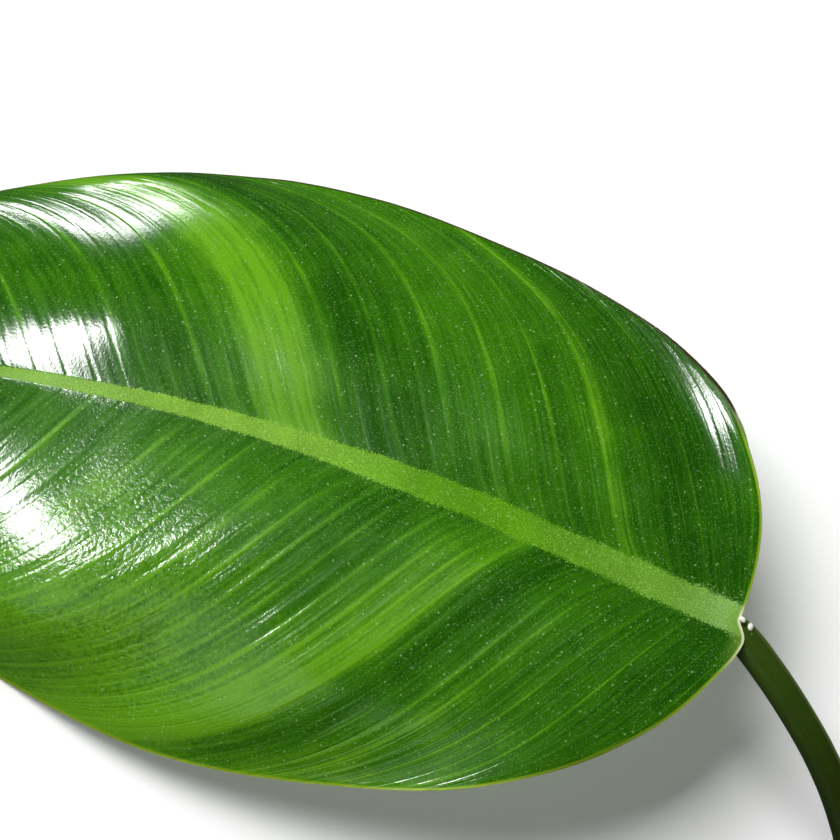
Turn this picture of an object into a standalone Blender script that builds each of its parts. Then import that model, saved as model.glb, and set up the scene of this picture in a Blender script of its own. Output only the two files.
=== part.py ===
"""A philodendron leaf, picked with its stalk and lying on a flat surface.

The blade is an arched sheet with a broad midrib on top, a keel under it and side veins
that leave the midrib and bend towards the tip. The stalk meets the keel at the joint,
comes down beside the blade and lies on the surface at its cut end.

Lengths are in metres. Design points are given from the joint: the first number runs
towards the tip, the second towards the far side and the third is the height.
"""
import math

import bmesh
import bpy
import numpy as np
from mathutils import Matrix, Vector

MM = 0.001

# Driving sizes of the blade
BLADE_THICKNESS = 0.7 * MM
KEEL_DEPTH = 7.2 * MM
MIDRIB_CROWN = 0.6 * MM
VALLEY_DEPTH = 1.6 * MM
VALLEY_WIDTH = 8.0 * MM
VEIN_HEIGHT = 0.25 * MM
VEIN_TAPER = 0.6
VEIN_DEPTH_UNDER = 2
SIDE_VEINS = 16
COLUMNS_PER_VEIN = 4
BAND_ROWS = 4
SHEET_ROWS = 8
ROW_SPREAD = 1.3
BAND_SPREAD = 0.3
MERGE_DISTANCE = 0.001 * MM

# Lines of the blade: along the midrib, and round each half from the joint to the tip
MIDRIB = MM * np.array((
    (0, 0, 36.5), (30, 2.8, 37.3), (66, 6.2, 36.0), (107, 7.9, 32.3), (150, 5.7, 26.3),
    (200, -0.8, 16.0), (238, -6.6, 6.0), (258, -9.0, 1.0)))
FAR_MARGIN = MM * np.array((
    (0, 0, 36.1), (0.3, 4.0, 35.7), (1.1, 14.0, 34.9), (3.6, 25.4, 34.0), (8.2, 35.0, 33.0),
    (15.6, 44.6, 32.2), (29, 54.2, 30.2), (49, 62.6, 26.0), (78, 70.0, 17.6), (108, 74.4, 9.4),
    (147, 70.2, 0.4), (189, 51.2, 0.3), (216, 33.0, 1.6), (240, 11.5, 2.0), (258, -9.0, 1.0)))
NEAR_MARGIN = MM * np.array((
    (0, 0, 36.1), (-1.4, -3.8, 35.6), (-1.6, -7.2, 35.2), (0.9, -12.8, 34.6), (6.6, -21.8, 33.4),
    (18.2, -34.8, 31.8), (38.4, -47.8, 28.0), (70, -56.7, 18.4), (108, -60.5, 8.5),
    (147, -54.8, 0.4), (186, -44.4, 0.3), (214, -33.2, 1.5), (240, -18.6, 1.8), (258, -9.0, 1.0)))

# Half width of the midrib, and depth of its keel, by the share of the way to the tip
MIDRIB_HALF_WIDTH = (
    (0, 3.9 * MM), (0.25, 3.6 * MM), (0.47, 2.2 * MM), (0.7, 1.3 * MM), (0.94, 0.9 * MM), (1, 0))
KEEL_SHARE = ((0, 1.0), (0.08, 0.86), (0.3, 0.52), (0.6, 0.24), (1, 0.0))

# Side veins: how they share out the midrib and the margin, and how they leave and arrive
MARGIN_CORNER = {"far": 0.150, "near": 0.140}
COLUMN_SPREAD = 1.8
MARGIN_SPREAD = 0.865
LEAVING_ANGLE = math.radians(60)
ARRIVING_ANGLE = math.radians(11)
LEAVING_PULL = 0.36
ARRIVING_PULL = 0.46
HOOK_LENGTH = 2.4 * MM
HOOK_REACH = 3.5 * MM
HOOK_START = 0.3
BASE_FADE = 0.25

# Broad pleats that run with the side veins, by column from the joint to the tip
PLEAT_EASING = 0.45
PLEATS = {
    "far": ((0, 0), (0.11, -0.6), (0.29, 0.9), (0.37, 0.5), (0.47, -0.7), (0.56, 0.9),
            (0.64, -0.5), (0.71, 0.5), (0.80, -0.3), (0.90, 0.2), (1, 0)),
    "near": ((0, 0), (0.13, 0.4), (0.25, -0.2), (0.33, -0.6), (0.39, 0.8), (0.50, -0.6),
             (0.58, 0.7), (0.68, -0.4), (0.79, 0.3), (0.90, -0.1), (1, 0))}

# The stalk: its route from the joint to the cut end, and its radius along it
STALK_ROUTE = MM * np.array((
    (6, 1.2, 32.2), (0, -1.2, 31.4), (-9.4, -6.9, 28.6), (-17.2, -12.4, 25.4),
    (-24.0, -17.8, 22.0), (-30.4, -24.2, 18.4), (-36.4, -31.6, 14.6), (-46.0, -49.0, 8.0),
    (-53.4, -70.0, 4.4), (-57.6, -92.0, 3.4), (-59.2, -112.0, 3.4)))
STALK_RADIUS = ((0, 3.5 * MM), (0.5, 3.35 * MM), (1, 3.75 * MM))
STALK_FLATTENING = 0.07
STALK_SIDES = 14
STALK_STATIONS = 36
JOINT_GAP = 0.3 * MM
NECK_REACH = 0.72 * MM
NECK_SKEW = math.radians(10)
CUT_SLANT = math.radians(14)
CUT_SETBACK = 2 * MM

# Looks
LEAF_GREEN = (0.050, 0.212, 0.009)
LEAF_ROUGHNESS = 0.34
STALK_OLIVE = (0.012, 0.032, 0.003)
STALK_ROUGHNESS = 0.3
SHARP_ANGLE = math.radians(40)


def clear_scene():
    for item in list(bpy.data.objects):
        bpy.data.objects.remove(item, do_unlink=True)


def smooth_line(points, where):
    """Read a smooth curve through design points, from 0 at the first to 1 at the last."""
    points = np.asarray(points, float)
    where = np.asarray(where, float)
    steps = np.linalg.norm(np.diff(points, axis=0), axis=1)
    knots = np.concatenate(([0.0], np.cumsum(steps))) / steps.sum()
    slopes = np.gradient(points, knots, axis=0)
    left = np.clip(np.searchsorted(knots, where, side="right") - 1, 0, len(knots) - 2)
    span = (knots[left + 1] - knots[left])[..., None]
    t = (where - knots[left])[..., None] / span
    start = (2 * t**3 - 3 * t**2 + 1) * points[left]
    end = (3 * t**2 - 2 * t**3) * points[left + 1]
    leaving = (t**3 - 2 * t**2 + t) * span * slopes[left]
    arriving = (t**3 - t**2) * span * slopes[left + 1]
    return start + leaving + arriving + end


def smooth_value(pairs, where):
    """Read a smooth value from pairs of place and value, with level places at each pair."""
    places, values = np.array(pairs, float).T
    left = np.clip(np.searchsorted(places, where, side="right") - 1, 0, len(places) - 2)
    t = (where - places[left]) / (places[left + 1] - places[left])
    ease = t * t * (3 - 2 * t)
    return values[left] + (values[left + 1] - values[left]) * ease


def plain_value(pairs, where):
    """Read a value from pairs of place and value, straight from one pair to the next."""
    places, values = np.array(pairs, float).T
    return np.interp(where, places, values)


def plan_direction(points, where):
    """Give the unit direction of a line, seen from above."""
    step = 0.001
    ahead = smooth_line(points, np.clip(where + step, 0, 1))
    behind = smooth_line(points, np.clip(where - step, 0, 1))
    along = (ahead - behind)[..., :2]
    return along / np.linalg.norm(along, axis=-1, keepdims=True)


def turned(direction, angle):
    """Turn directions in plan by an angle."""
    across = np.stack([-direction[..., 1], direction[..., 0]], axis=-1)
    return math.cos(angle) * direction + math.sin(angle) * across


class Half:
    """One half of the blade, with places given by column and by share across.

    A column runs along a side vein, from 0 at the joint to 1 at the tip. Across, the
    band share goes over the midrib's half width, and the sheet share from there to
    the margin.
    """

    def __init__(self, name):
        self.name = name
        self.sign = 1 if name == "far" else -1
        self.margin = FAR_MARGIN if name == "far" else NEAR_MARGIN
        self.corner = MARGIN_CORNER[name]
        self.margin_length = np.linalg.norm(np.diff(self.margin, axis=0), axis=1).sum()

    def vein_plan(self, column, band, sheet):
        """Place points in plan on veins that leave the midrib and bend towards the tip."""
        along_midrib = column ** COLUMN_SPREAD
        along_margin = self.corner + (1 - self.corner) * column ** MARGIN_SPREAD
        middle = smooth_line(MIDRIB, along_midrib)[..., :2]
        direction = plan_direction(MIDRIB, along_midrib)
        half_width = plain_value(MIDRIB_HALF_WIDTH, along_midrib)[..., None]
        across = turned(direction, self.sign * math.pi / 2)
        start = middle + across * half_width
        end = smooth_line(self.margin, along_margin)[..., :2]
        reach = np.linalg.norm(end - start, axis=-1, keepdims=True)
        arrival = turned(plan_direction(self.margin, along_margin), self.sign * ARRIVING_ANGLE)
        first = start + turned(direction, self.sign * LEAVING_ANGLE) * reach * LEAVING_PULL
        second = end - arrival * reach * ARRIVING_PULL
        t = sheet[..., None]
        vein = (1 - t)**3 * start + 3 * t * (1 - t)**2 * first + 3 * t**2 * (1 - t) * second + t**3 * end
        hook = HOOK_LENGTH * band[..., None]**2 * np.exp(-t * reach / HOOK_REACH)
        hook = hook * np.clip(column / HOOK_START, 0, 1)[..., None]**2 * (1 - column[..., None])
        return vein - across * half_width * (1 - band[..., None]) - direction * hook

    def base_line(self, band, sheet):
        """Place points on the margin's first stretch, from the joint round the basal lobe."""
        at_band = MIDRIB_HALF_WIDTH[0][1] / self.margin_length
        return smooth_line(self.margin, at_band * band + (self.corner - at_band) * sheet)

    def surface(self, column, band, sheet):
        """Place points on the upper face, with its relief but without the side veins."""
        zero = np.zeros_like(column)
        base = self.base_line(band, sheet)
        fade = np.clip(1 - column / BASE_FADE, 0, 1) ** 2
        plan = self.vein_plan(column, band, sheet)
        plan_at_base = self.vein_plan(zero, band, sheet)
        plan = plan + (base[..., :2] - plan_at_base) * fade[..., None]
        along_margin = self.corner + (1 - self.corner) * column ** MARGIN_SPREAD
        edge = smooth_line(self.margin, along_margin)[..., 2]
        height = droop(plan[..., 0], edge, sheet)
        corner_height = smooth_line(self.margin, np.array(self.corner))[2]
        height_at_base = droop(base[..., 0], corner_height, sheet)
        height = height + (base[..., 2] - height_at_base) * fade
        height = height + self.relief(column, band, sheet, plan)
        return np.stack([-plan[..., 0], plan[..., 1], height], axis=-1)

    def relief(self, column, band, sheet, plan):
        """Add up the valley that the midrib lies in, its rounded crown and the pleats."""
        near_tip = 1 - column**3
        across = np.abs(plan[..., 1] - level_with(plan[..., 0], 1))
        valley = VALLEY_DEPTH * np.exp(-(across / VALLEY_WIDTH)**2) * near_tip
        crown = MIDRIB_CROWN * (1 - band**2) * near_tip
        swell = (1 - (1 - sheet)**3) * (1 - PLEAT_EASING * sheet**2)
        pleat = smooth_value(PLEATS[self.name], column) * MM * swell
        return pleat + crown - valley


def level_with(along, number):
    """Read the midrib's distance across (1) or height (2) level with a point."""
    line = smooth_line(MIDRIB, np.linspace(0, 1, 300))
    return np.interp(along, line[:, 0], line[:, number])


def droop(along, edge, sheet):
    """Give the height of a point, from the midrib level with it down to the margin."""
    middle = level_with(along, 2)
    return middle + (edge - middle) * sheet**2


def row_shares(rows):
    """Turn row numbers, counted from the midrib, into shares over the band and the sheet."""
    band = np.clip(rows / BAND_ROWS, 0, 1)
    band = band * (1 + BAND_SPREAD - BAND_SPREAD * band)
    sheet = np.clip((rows - BAND_ROWS) / SHEET_ROWS, 0, 1) ** ROW_SPREAD
    return band, sheet


def make_sheet(mesh):
    """Lay a grid of triangles on the upper face and note where its underside goes."""
    columns = SIDE_VEINS * COLUMNS_PER_VEIN
    half_rows = BAND_ROWS + SHEET_ROWS
    bmesh.ops.create_grid(mesh, x_segments=columns, y_segments=2 * half_rows, size=0.5)
    bmesh.ops.triangulate(mesh, faces=mesh.faces[:], quad_method="FIXED")
    flat = np.array([vert.co for vert in mesh.verts])
    column = np.clip(flat[:, 0] + 0.5, 0, 1)
    rows = flat[:, 1] * 2 * half_rows
    band, sheet = row_shares(np.abs(rows))
    vein_number = np.rint(column * columns).astype(int)
    on_vein = (vein_number % COLUMNS_PER_VEIN == 0) & (vein_number > 0) & (vein_number < columns)
    vein = VEIN_HEIGHT * on_vein * np.clip(4 * sheet, 0, 1) * (1 - VEIN_TAPER * sheet)
    far = Half("far").surface(column, band, sheet)
    near = Half("near").surface(column, band, sheet)
    place = np.where(rows[:, None] >= 0, far, near)
    place[:, 2] += vein
    keel = KEEL_DEPTH * plain_value(KEEL_SHARE, column ** COLUMN_SPREAD)
    depth = keel * np.sqrt(np.clip(1 - band**2, 0, 1)) + VEIN_DEPTH_UNDER * vein
    rib = mesh.verts.layers.float.new("rib")
    upright = mesh.verts.layers.int.new("upright")
    straight_down = (band < 1) | (column == 1)
    for number, vert in enumerate(mesh.verts):
        vert.co = Vector(place[number])
        vert[rib] = depth[number]
        vert[upright] = int(straight_down[number])
    bmesh.ops.remove_doubles(mesh, verts=mesh.verts[:], dist=MERGE_DISTANCE)
    bmesh.ops.reverse_faces(mesh, faces=mesh.faces[:])
    mesh.normal_update()


def make_blade():
    """Model the blade as one closed sheet with its keel, pressed flat where it touches."""
    mesh = bmesh.new()
    make_sheet(mesh)
    underside = mesh.verts.layers.float_vector.new("underside")
    rib = mesh.verts.layers.float["rib"]
    upright = mesh.verts.layers.int["upright"]
    up = Vector((0, 0, 1))
    for vert in mesh.verts:
        outward = up if vert[upright] else vert.normal
        below = vert.co - outward * BLADE_THICKNESS - up * vert[rib]
        lift = max(0.0, -below.z)
        vert.co.z += lift
        below.z += lift
        vert[underside] = below
    grown = bmesh.ops.extrude_face_region(mesh, geom=mesh.faces[:], use_keep_orig=True)
    for item in grown["geom"]:
        if isinstance(item, bmesh.types.BMVert):
            item.co = item[underside]
    return finish(mesh, "leaf_blade", plain_material("leaf_green", LEAF_GREEN, LEAF_ROUGHNESS))


def stalk_frame(share):
    """Give the place and turn of the stalk's section at a share of its route."""
    here, ahead, behind = smooth_line(STALK_ROUTE, np.clip((share, share + 0.01, share - 0.01), 0, 1))
    tangent = Vector(ahead - behind)
    tangent.x = -tangent.x
    tangent.normalize()
    side = Vector((0, 0, 1)).cross(tangent).normalized()
    up = tangent.cross(side)
    turn = Matrix((side, up, tangent)).transposed().to_4x4()
    return Matrix.Translation(Vector((-here[0], here[1], here[2]))) @ turn


def stalk_section(mesh):
    """Start the stalk with a ring a little flattened on top, level underneath."""
    ring = bmesh.ops.create_circle(mesh, cap_ends=True, segments=STALK_SIDES, radius=1)["verts"]
    level = Matrix.Rotation(math.pi / STALK_SIDES, 4, "Z")
    bmesh.ops.transform(mesh, matrix=level, verts=ring)
    for vert in ring:
        vert.co.y *= 1 - STALK_FLATTENING * max(0.0, vert.co.y) ** 2
    return ring


def make_stalk():
    """Model the stalk by carrying its section along the route, and cut both its ends."""
    mesh = bmesh.new()
    ring = stalk_section(mesh)
    placed = stalk_frame(0) @ Matrix.Scale(plain_value(STALK_RADIUS, 0), 4)
    bmesh.ops.transform(mesh, matrix=placed, verts=ring)
    edges = mesh.edges[:]
    for station in range(1, STALK_STATIONS + 1):
        share = station / STALK_STATIONS
        target = stalk_frame(share) @ Matrix.Scale(plain_value(STALK_RADIUS, share), 4)
        grown = bmesh.ops.extrude_edge_only(mesh, edges=edges)["geom"]
        ring = [item for item in grown if isinstance(item, bmesh.types.BMVert)]
        edges = [item for item in grown if isinstance(item, bmesh.types.BMEdge)]
        bmesh.ops.transform(mesh, matrix=target @ placed.inverted(), verts=ring)
        placed = target
    bmesh.ops.contextual_create(mesh, geom=edges)
    facing = Vector((math.cos(NECK_SKEW), math.sin(NECK_SKEW), 0))
    cut_flat(mesh, facing * (NECK_REACH + JOINT_GAP), -facing)
    slant = stalk_frame(1).to_3x3() @ Vector((math.sin(CUT_SLANT), 0, math.cos(CUT_SLANT)))
    end = stalk_frame(1).to_translation()
    cut_flat(mesh, end - slant * CUT_SETBACK, slant)
    cut_flat(mesh, Vector((0, 0, 0)), Vector((0, 0, -1)))
    return finish(mesh, "petiole", plain_material("stalk_olive", STALK_OLIVE, STALK_ROUGHNESS))


def cut_flat(mesh, place, outward):
    """Cut the mesh on a plane, drop what lies outward of it and close the cut."""
    geometry = mesh.verts[:] + mesh.edges[:] + mesh.faces[:]
    cut = bmesh.ops.bisect_plane(
        mesh, geom=geometry, dist=0.01 * MM, plane_co=place, plane_no=outward, clear_outer=True)
    rim = [item for item in cut["geom_cut"] if isinstance(item, bmesh.types.BMEdge)]
    if rim:
        bmesh.ops.contextual_create(mesh, geom=rim)


def plain_material(name, colour, roughness):
    material = bpy.data.materials.new(name)
    material.use_nodes = True
    shader = material.node_tree.nodes["Principled BSDF"]
    shader.inputs["Base Color"].default_value = (*colour, 1)
    shader.inputs["Roughness"].default_value = roughness
    shader.inputs["Metallic"].default_value = 0
    return material


def finish(mesh, name, material):
    """Split the mesh into triangles, face it outwards and make it an object."""
    bmesh.ops.recalc_face_normals(mesh, faces=mesh.faces[:])
    bmesh.ops.triangulate(mesh, faces=mesh.faces[:])
    data = bpy.data.meshes.new(name)
    mesh.to_mesh(data)
    mesh.free()
    data.materials.append(material)
    data.shade_smooth()
    data.set_sharp_from_angle(angle=SHARP_ANGLE)
    item = bpy.data.objects.new(name, data)
    bpy.context.scene.collection.objects.link(item)
    return item


def centre_on_origin(items):
    """Move the meshes so that the middle of the leaf's footprint is the origin."""
    places = np.array([vert.co for item in items for vert in item.data.vertices])
    low, high = places.min(axis=0), places.max(axis=0)
    shift = Vector((-(low[0] + high[0]) / 2, -(low[1] + high[1]) / 2, -low[2]))
    for item in items:
        item.data.transform(Matrix.Translation(shift))
        item.data.update()


clear_scene()
blade = make_blade()
stalk = make_stalk()
centre_on_origin((blade, stalk))
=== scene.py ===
# %% [markdown]
# # A philodendron leaf, picked with its stalk
#
# The leaf lies on a pale surface: an arched, glossy blade on a dark olive stalk. A measured
# model of it already exists as plain solids. This lesson dresses that model: it makes a finer
# blade and stalk in the same places, and gives them the look of a living leaf.

# %% Load the measured model
import math

import bmesh
import bpy
import numpy as np
from mathutils import Matrix, Vector
from mathutils.kdtree import KDTree


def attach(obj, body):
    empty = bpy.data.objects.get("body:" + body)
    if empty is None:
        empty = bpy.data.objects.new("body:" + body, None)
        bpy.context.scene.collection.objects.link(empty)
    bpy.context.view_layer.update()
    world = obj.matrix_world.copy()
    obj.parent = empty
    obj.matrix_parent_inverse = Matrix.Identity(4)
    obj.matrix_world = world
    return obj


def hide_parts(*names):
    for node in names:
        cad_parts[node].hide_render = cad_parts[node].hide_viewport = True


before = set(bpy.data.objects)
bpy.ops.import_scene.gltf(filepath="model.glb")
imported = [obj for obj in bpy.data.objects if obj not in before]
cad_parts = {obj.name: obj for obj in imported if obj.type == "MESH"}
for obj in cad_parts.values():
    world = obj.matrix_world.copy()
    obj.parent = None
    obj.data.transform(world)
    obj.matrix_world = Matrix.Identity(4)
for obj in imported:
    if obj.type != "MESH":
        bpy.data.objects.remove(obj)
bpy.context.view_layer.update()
MM = 0.001

# %% [markdown]
# ## One frame for both models
#
# The leaf's own design points are counted from the joint, where the blade meets the stalk: the
# first number runs towards the tip, the second towards the far side, the third is the height.
# The tip is the solid blade's lowest X, so it tells where the joint lies in the model's frame.

# %% Find the joint
TIP = Vector((258 * MM, -9 * MM))
solid_tip = min((vert.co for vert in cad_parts["leaf_blade"].data.vertices), key=lambda co: co.x)
JOINT = Vector((solid_tip.x + TIP.x, solid_tip.y - TIP.y, 0))
print("joint at", [round(value / MM, 2) for value in JOINT], "mm")

# %% [markdown]
# ## The camera
#
# The photographer looked steeply down on the leaf from beside the stalk, with a short telephoto
# lens. Aiming a camera by hand drifts easily, so its place is worked out from two angles and a
# distance, and its turn from the line of sight.

# %% Camera
AIM = JOINT + Vector((-76.74, 21.98, 26.46)) * MM
CAMERA_SIDE = math.radians(19.5)
CAMERA_RISE = math.radians(70)
CAMERA_DISTANCE = 550 * MM
LENS_LENGTH = 111
SENSOR_WIDTH = 36

sight = Vector((math.sin(CAMERA_SIDE) * math.cos(CAMERA_RISE),
                -math.cos(CAMERA_SIDE) * math.cos(CAMERA_RISE),
                math.sin(CAMERA_RISE)))
lens = bpy.data.cameras.new("camera")
lens.lens = LENS_LENGTH
lens.sensor_width = SENSOR_WIDTH
lens.sensor_fit = "HORIZONTAL"
lens.clip_start = 0.01
camera = bpy.data.objects.new("camera", lens)
camera.location = AIM + sight * CAMERA_DISTANCE
camera.rotation_euler = sight.to_track_quat("Z", "Y").to_euler()
bpy.context.scene.collection.objects.link(camera)
bpy.context.scene.camera = camera
print("camera at", [round(value, 3) for value in camera.location])

# %% [markdown]
# ## Colours and shader nodes
#
# Colours are picked as screen values, but a renderer adds light, so they are turned to linear
# first. Shaders are built from nodes in code. One helper adds a node, sets its settings, and
# links or fills its sockets, so a pattern reads from top to bottom like a recipe. Sockets are
# given by name, or by number where a node repeats its names: a Mix node takes plain values at 2
# and 3 and colours at 6 and 7, and gives the mixed colour at its output 2.

# %% Helpers for colours and shaders
def linear(hex_colour):
    """Turn an sRGB hex colour into linear red, green, blue and alpha."""
    channels = [int(hex_colour[start:start + 2], 16) / 255 for start in (0, 2, 4)]
    return (*[c / 12.92 if c <= 0.04045 else ((c + 0.055) / 1.055) ** 2.4 for c in channels], 1.0)


def add(tree, kind, sockets=None, stops=None, **settings):
    """Add a shader node with its settings, its sockets' links or values, and any ramp stops."""
    made = tree.nodes.new("ShaderNode" + kind)
    for name, value in settings.items():
        setattr(made, name, value)
    for name, value in (sockets or {}).items():
        if isinstance(value, bpy.types.Node):
            value = value.outputs[0]
        if isinstance(value, bpy.types.NodeSocket):
            tree.links.new(value, made.inputs[name])
        else:
            made.inputs[name].default_value = value
    if stops:
        ramp = made.color_ramp.elements
        ramp[0].position, ramp[0].color = stops[0]
        ramp[1].position, ramp[1].color = stops[-1]
        for place, colour in stops[1:-1]:
            ramp.new(place).color = colour
    return made


def new_material(name):
    """Start a material and give its node tree and its Principled shader."""
    material = bpy.data.materials.new(name)
    material.use_nodes = True
    return material, material.node_tree, material.node_tree.nodes["Principled BSDF"]


# %% [markdown]
# ## The floor
#
# The leaf lies on plain white paper board. It only has to stay white and take a soft shadow, so
# it is one plane just under the leaf, matt, a little off pure white and so large that no view
# sees its end. A faint glow stands in for the light that a white room sends back. The board's
# own mirror image would turn the steep margins grey, so the wax doesn't mirror it.

# %% Floor
FLOOR_SIZE = 60
FLOOR_DROP = 0.05 * MM
BOARD_GLOW = 0.16

mesh = bmesh.new()
bmesh.ops.create_grid(mesh, x_segments=1, y_segments=1, size=FLOOR_SIZE / 2)
bmesh.ops.translate(mesh, verts=mesh.verts, vec=(0, 0, -FLOOR_DROP))
floor_mesh = bpy.data.meshes.new("floor")
mesh.to_mesh(floor_mesh)
mesh.free()
board, tree, shader = new_material("paper_board")
shader.inputs["Base Color"].default_value = linear("f2f2f2")
shader.inputs["Roughness"].default_value = 0.8
shader.inputs["Specular IOR Level"].default_value = 0.2
shader.inputs["Emission Color"].default_value = (1, 1, 1, 1)
shader.inputs["Emission Strength"].default_value = BOARD_GLOW
floor_mesh.materials.append(board)
floor = bpy.data.objects.new("floor", floor_mesh)
bpy.context.scene.collection.objects.link(floor)
floor.visible_glossy = False
print("floor", FLOOR_SIZE, "m wide")

# %% [markdown]
# ## The light
#
# A leaf's wax mirrors the lights around it, so where they stand decides where its shine lies,
# while the shadow follows the strongest light overhead. One lamp could serve both, but then
# moving the shine would move the shadow. So one soft box overhead only lights, and three windows
# only shine in the wax: a bright one on the left, a low one at the back that catches the far rim,
# and a large dim one in front that gives the near half its sheen.

# %% Lights
LEAF_MIDDLE = JOINT + Vector((-90, 5, 22)) * MM
OVERHEAD = {"direction": (-0.41, 0.31, 0.85), "distance": 2.5, "sides": (1.6, 1.6), "power": 79}
WINDOW_DISTANCE = 2.2
WINDOWS = {
    "left_window": {"direction": (-0.665, 0.02, 0.745), "sides": (0.78, 0.62), "power": 64},
    "back_window": {"direction": (-0.574, 0.819, 0.058), "sides": (0.34, 0.17), "power": 7},
    "front_window": {"direction": (-0.42, -0.60, 0.68), "sides": (1.2, 1.2), "power": 4}}
ROOM_LIGHT = 0.03


def soft_box(name, direction, distance, sides, power):
    """Stand a flat light off in a direction from the leaf's middle and face it there."""
    away = Vector(direction).normalized()
    data = bpy.data.lights.new(name, "AREA")
    data.shape = "RECTANGLE"
    data.size, data.size_y = sides
    data.energy = power
    lamp = bpy.data.objects.new(name, data)
    lamp.location = LEAF_MIDDLE + away * distance
    lamp.rotation_euler = away.to_track_quat("Z", "Y").to_euler()
    bpy.context.scene.collection.objects.link(lamp)
    return lamp


soft_box("overhead_box", **OVERHEAD).visible_glossy = False
for name, window in WINDOWS.items():
    soft_box(name, distance=WINDOW_DISTANCE, **window).visible_diffuse = False

world = bpy.data.worlds.new("studio")
world.use_nodes = True
world.node_tree.nodes["Background"].inputs["Color"].default_value = (1, 1, 1, 1)
world.node_tree.nodes["Background"].inputs["Strength"].default_value = ROOM_LIGHT
bpy.context.scene.world = world
bpy.context.scene.view_settings.view_transform = "Standard"
print("one soft box,", len(WINDOWS), "windows and a dim room")

# %% [markdown]
# ## The lines of the blade
#
# A leaf grows round a few lines: the midrib, which arches from the joint down to the tip, and the
# margin of each half. The far half is broader, and both start with a round lobe beside the
# stalk. These are the measured model's lines, with the lobes drawn half a millimetre fuller. A
# smooth curve runs through each, so some fifteen points are enough for a whole margin.

# %% Lines of the blade
MIDRIB = MM * np.array((
    (0, 0, 36.5), (30, 2.8, 37.3), (66, 6.2, 36.0), (107, 7.9, 32.3), (150, 5.7, 26.3),
    (200, -0.8, 16.0), (238, -6.6, 6.0), (258, -9.0, 1.0)))
FAR_MARGIN = MM * np.array((
    (0, 0, 36.1), (-0.2, 4.0, 35.7), (0.3, 14.1, 34.9), (3.1, 25.5, 34.0), (7.9, 35.1, 33.0),
    (15.1, 45.0, 32.2), (28.7, 54.7, 30.2), (48.9, 62.9, 26.0), (78, 70.3, 17.6), (108, 74.4, 9.4),
    (147, 70.2, 0.4), (189, 51.2, 0.3), (216, 33.0, 1.6), (240, 11.5, 2.0), (258, -9.0, 1.0)))
NEAR_MARGIN = MM * np.array((
    (0, 0, 36.1), (-2.1, -3.6, 35.6), (-1.5, -7.1, 35.2), (1.0, -12.8, 34.6), (6.1, -22.2, 33.4),
    (17.9, -35.2, 31.8), (38.2, -48.2, 28.0), (69.9, -57.0, 18.4), (108, -60.8, 8.5),
    (147, -54.8, 0.4), (186, -44.4, 0.3), (214, -33.2, 1.5), (240, -18.6, 1.8), (258, -9.0, 1.0)))


def line_length(points):
    """Measure a line from point to point."""
    return np.linalg.norm(np.diff(points, axis=0), axis=1).sum()


for name, line in (("midrib", MIDRIB), ("far margin", FAR_MARGIN), ("near margin", NEAR_MARGIN)):
    print(name, "is", round(line_length(line) / MM), "mm long")

# %% [markdown]
# ## Smooth lines and values
#
# Between their design points the leaf's lines bend smoothly. A cubic curve through every point,
# with its slope taken from the neighbours, does that, and numpy reads it for thousands of
# points at once. Values that change along the leaf, such as a height or a tone, are read the
# same way from pairs of place and value.

# %% Smooth lines and values
def smooth_line(points, where):
    """Read a smooth curve through design points, from 0 at the first to 1 at the last."""
    where = np.asarray(where, float)
    steps = np.linalg.norm(np.diff(points, axis=0), axis=1)
    knots = np.concatenate(([0.0], np.cumsum(steps))) / steps.sum()
    slopes = np.gradient(points, knots, axis=0)
    left = np.clip(np.searchsorted(knots, where, side="right") - 1, 0, len(knots) - 2)
    span = (knots[left + 1] - knots[left])[..., None]
    t = (where - knots[left])[..., None] / span
    start = (2 * t**3 - 3 * t**2 + 1) * points[left]
    end = (3 * t**2 - 2 * t**3) * points[left + 1]
    leaving = (t**3 - 2 * t**2 + t) * span * slopes[left]
    arriving = (t**3 - t**2) * span * slopes[left + 1]
    return start + leaving + arriving + end


def smooth_value(pairs, where):
    """Read a smooth value from pairs of place and value, with level places at each pair."""
    places, values = np.array(pairs, float).T
    left = np.clip(np.searchsorted(places, where, side="right") - 1, 0, len(places) - 2)
    t = (where - places[left]) / (places[left + 1] - places[left])
    ease = t * t * (3 - 2 * t)
    return values[left] + (values[left + 1] - values[left]) * ease


def plain_value(pairs, where):
    """Read a value from pairs of place and value, straight from one pair to the next."""
    places, values = np.array(pairs, float).T
    return np.interp(where, places, values)


def plan_direction(points, where):
    """Give the unit direction of a line, seen from above."""
    step = 0.001
    ahead = smooth_line(points, np.clip(where + step, 0, 1))
    behind = smooth_line(points, np.clip(where - step, 0, 1))
    along = (ahead - behind)[..., :2]
    return along / np.linalg.norm(along, axis=-1, keepdims=True)


def turned(direction, angle):
    """Turn directions in plan by an angle."""
    across = np.stack([-direction[..., 1], direction[..., 0]], axis=-1)
    return math.cos(angle) * direction + math.sin(angle) * across


print("midrib halfway is", round(smooth_line(MIDRIB, 0.5)[2] / MM, 1), "mm up")

# %% [markdown]
# ## How the veins run
#
# The side veins leave the midrib at a steep angle, bend towards the tip and end almost along
# the margin. The whole sheet is laid out on them: a column of the grid is a vein, from 0 at the
# joint to 1 at the tip, and a row crosses them. Folds, ridges and colours that follow the veins
# then come for free, which a plain square grid couldn't give.

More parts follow.
